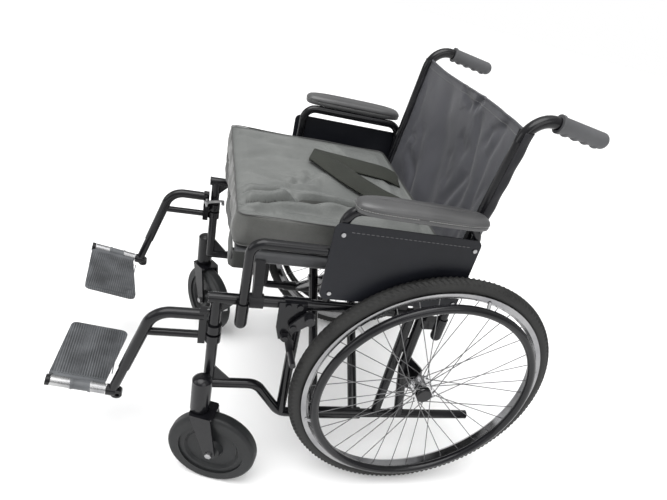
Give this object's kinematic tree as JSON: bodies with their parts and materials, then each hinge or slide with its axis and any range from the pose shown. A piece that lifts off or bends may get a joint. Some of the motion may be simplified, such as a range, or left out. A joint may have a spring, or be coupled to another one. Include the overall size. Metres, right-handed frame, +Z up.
{
  "type": "manual wheelchair",
  "caption": "Folding manual wheelchair with spoked rear wheels, hand rims, swivel casters, swing-away footrests, lift-off armrests, wheel brakes and a padded seat cushion.",
  "frame": {"origin": "centre of the chair's bounding box on the floor", "axes": "+Z up, +Y from the footplates towards the rear wheels, +X towards the sitter's left"},
  "size_m": [0.724, 1.0849, 0.9239],
  "materials": {
    "frame_black": "gloss black powder coat",
    "saddle_plastic": "matte black nylon",
    "grip_rubber": "dark grey rubber",
    "tyre_rubber": "dark grey rubber with tread",
    "chrome": "bright chrome plate",
    "cap_plastic": "black",
    "steel": "zinc plated",
    "caster_rubber": "solid grey rubber",
    "caster_plastic": "dark grey moulding",
    "foot_plastic": "grey ribbed moulding",
    "brake_black": "black",
    "panel_plastic": "satin blue-black sheet",
    "pad_vinyl": "dark grey moulded polyurethane skin",
    "seat_fabric": "coated grey nylon",
    "back_fabric": "dark grey nylon",
    "webbing": "olive-black webbing"
  },
  "bodies": {
    "left_frame": {"side_frame_left": "frame_black", "seat_saddles_left": "saddle_plastic", "push_grip_left": "grip_rubber", "rear_axle_left": "steel", "brake_bracket_left": "frame_black", "back_upholstery": "back_fabric"},
    "brace_a": {"brace_a": "frame_black", "brace_pivot_bolts": "steel", "seat_sling": "seat_fabric", "seat_cushion": "seat_fabric", "lap_belt": "webbing"},
    "brace_b": {"brace_b": "frame_black"},
    "right_frame": {"side_frame_right": "frame_black", "seat_saddles_right": "saddle_plastic", "push_grip_right": "grip_rubber", "rear_axle_right": "steel", "brake_bracket_right": "frame_black"},
    "left_wheel": {"tyre_left": "tyre_rubber", "rim_left": "chrome", "hub_left": "chrome", "hub_cap_left": "cap_plastic", "spokes_left": "chrome", "handrim_left": "frame_black", "handrim_brackets_left": "chrome"},
    "left_caster_fork": {"caster_fork_left": "frame_black", "caster_axle_left": "steel"},
    "left_caster_wheel": {"caster_tyre_left": "caster_rubber", "caster_hub_left": "caster_plastic"},
    "left_hanger": {"hanger_left": "frame_black"},
    "left_hanger_lever": {"hanger_lever_left": "steel"},
    "left_leg": {"leg_tube_left": "chrome"},
    "left_footplate": {"footplate_left": "foot_plastic"},
    "left_brake_lever": {"brake_lever_left": "brake_black"},
    "left_brake_shoe": {"brake_shoe_left": "brake_black"},
    "left_arm": {"arm_frame_left": "frame_black", "arm_panel_left": "panel_plastic", "arm_screws_left": "steel", "arm_pad_left": "pad_vinyl"},
    "right_wheel": {"tyre_right": "tyre_rubber", "rim_right": "chrome", "hub_right": "chrome", "hub_cap_right": "cap_plastic", "spokes_right": "chrome", "handrim_right": "frame_black", "handrim_brackets_right": "chrome"},
    "right_caster_fork": {"caster_fork_right": "frame_black", "caster_axle_right": "steel"},
    "right_caster_wheel": {"caster_tyre_right": "caster_rubber", "caster_hub_right": "caster_plastic"},
    "right_hanger": {"hanger_right": "frame_black"},
    "right_hanger_lever": {"hanger_lever_right": "steel"},
    "right_leg": {"leg_tube_right": "chrome"},
    "right_footplate": {"footplate_right": "foot_plastic"},
    "right_brake_lever": {"brake_lever_right": "brake_black"},
    "right_brake_shoe": {"brake_shoe_right": "brake_black"},
    "right_arm": {"arm_frame_right": "frame_black", "arm_panel_right": "panel_plastic", "arm_screws_right": "steel", "arm_pad_right": "pad_vinyl"}
  },
  "joints": [
    {"name": "fold", "type": "hinge", "parent": "left_frame", "child": "brace_a", "pos_m": [0.269, 0.06746, 0.169], "axis": [0, 1, 0], "range_deg": [0, 39.6], "deforming": ["seat_sling", "seat_cushion", "lap_belt", "back_upholstery"]},
    {"name": "brace_cross", "type": "hinge", "parent": "brace_a", "child": "brace_b", "pos_m": [0, 0.06746, 0.3767], "axis": [0, 1, 0], "range_deg": [-79.2, 0]},
    {"name": "right_upright", "type": "hinge", "parent": "brace_b", "child": "right_frame", "pos_m": [-0.269, 0.06746, 0.169], "axis": [0, 1, 0], "range_deg": [0, 39.6]},
    {"name": "left_wheel_spin", "type": "hinge", "parent": "left_frame", "child": "left_wheel", "pos_m": [0.3235, 0.23746, 0.305], "axis": [1, 0, 0], "continuous": true},
    {"name": "left_caster_swivel", "type": "hinge", "parent": "left_frame", "child": "left_caster_fork", "pos_m": [0.299, -0.24354, 0.25], "axis": [0, 0, 1], "continuous": true},
    {"name": "left_caster_spin", "type": "hinge", "parent": "left_caster_fork", "child": "left_caster_wheel", "pos_m": [0.312, -0.20783, 0.1], "axis": [0.9397, -0.342, 0], "continuous": true},
    {"name": "left_hanger_swing", "type": "hinge", "parent": "left_frame", "child": "left_hanger", "pos_m": [0.269, -0.23054, 0.4], "axis": [0, 0, 1], "range_deg": [0, 90]},
    {"name": "left_hanger_release", "type": "hinge", "parent": "left_hanger", "child": "left_hanger_lever", "pos_m": [0.2475, -0.25154, 0.427], "axis": [0, 0, 1], "range_deg": [0, 15], "stiffness_Nm_per_rad": 0.05},
    {"name": "left_leg_length", "type": "slide", "parent": "left_hanger", "child": "left_leg", "axis": [-0.013, -0.3382, -0.941], "range_m": [0, 0.08]},
    {"name": "left_footplate_flip", "type": "hinge", "parent": "left_leg", "child": "left_footplate", "pos_m": [0.262, -0.42754, 0.221], "axis": [0, 0.9788, -0.2047], "range_deg": [0, 90]},
    {"name": "left_brake_lever_turn", "type": "hinge", "parent": "left_frame", "child": "left_brake_lever", "pos_m": [0.296, -0.08054, 0.44], "axis": [1, 0, 0], "range_deg": [0, 60]},
    {"name": "left_brake_shoe_turn", "type": "hinge", "parent": "left_frame", "child": "left_brake_shoe", "pos_m": [0.291, -0.09354, 0.412], "axis": [1, 0, 0], "range_deg": [0, 14]},
    {"name": "left_arm_lift", "type": "slide", "parent": "left_frame", "child": "left_arm", "axis": [0, 0, 1], "range_m": [0, 0.15]},
    {"name": "right_wheel_spin", "type": "hinge", "parent": "right_frame", "child": "right_wheel", "pos_m": [-0.3235, 0.23746, 0.305], "axis": [1, 0, 0], "continuous": true},
    {"name": "right_caster_swivel", "type": "hinge", "parent": "right_frame", "child": "right_caster_fork", "pos_m": [-0.299, -0.24354, 0.25], "axis": [0, 0, 1], "continuous": true},
    {"name": "right_caster_spin", "type": "hinge", "parent": "right_caster_fork", "child": "right_caster_wheel", "pos_m": [-0.26677, -0.2234, 0.1], "axis": [0.5299, -0.848, 0], "continuous": true},
    {"name": "right_hanger_swing", "type": "hinge", "parent": "right_frame", "child": "right_hanger", "pos_m": [-0.269, -0.23054, 0.4], "axis": [0, 0, -1], "range_deg": [0, 90]},
    {"name": "right_hanger_release", "type": "hinge", "parent": "right_hanger", "child": "right_hanger_lever", "pos_m": [-0.2475, -0.25154, 0.427], "axis": [0, 0, -1], "range_deg": [0, 15], "stiffness_Nm_per_rad": 0.05},
    {"name": "right_leg_length", "type": "slide", "parent": "right_hanger", "child": "right_leg", "axis": [0.013, -0.3382, -0.941], "range_m": [0, 0.08]},
    {"name": "right_footplate_flip", "type": "hinge", "parent": "right_leg", "child": "right_footplate", "pos_m": [-0.262, -0.42754, 0.221], "axis": [0, -0.9788, 0.2047], "range_deg": [0, 90]},
    {"name": "right_brake_lever_turn", "type": "hinge", "parent": "right_frame", "child": "right_brake_lever", "pos_m": [-0.296, -0.08054, 0.44], "axis": [1, 0, 0], "range_deg": [0, 60]},
    {"name": "right_brake_shoe_turn", "type": "hinge", "parent": "right_frame", "child": "right_brake_shoe", "pos_m": [-0.291, -0.09354, 0.412], "axis": [1, 0, 0], "range_deg": [0, 14]},
    {"name": "right_arm_lift", "type": "slide", "parent": "right_frame", "child": "right_arm", "axis": [0, 0, 1], "range_m": [0, 0.15]}
  ],
  "couplings": [
    {"joint": "brace_cross", "follows": "fold", "ratio": -2},
    {"joint": "right_upright", "follows": "fold", "ratio": 1},
    {"joint": "left_footplate_flip", "follows": "fold", "ratio": 2.2726},
    {"joint": "left_brake_shoe_turn", "follows": "left_brake_lever_turn", "ratio": 0.2333},
    {"joint": "right_footplate_flip", "follows": "fold", "ratio": 2.2726},
    {"joint": "right_brake_shoe_turn", "follows": "right_brake_lever_turn", "ratio": 0.2333}
  ]
}
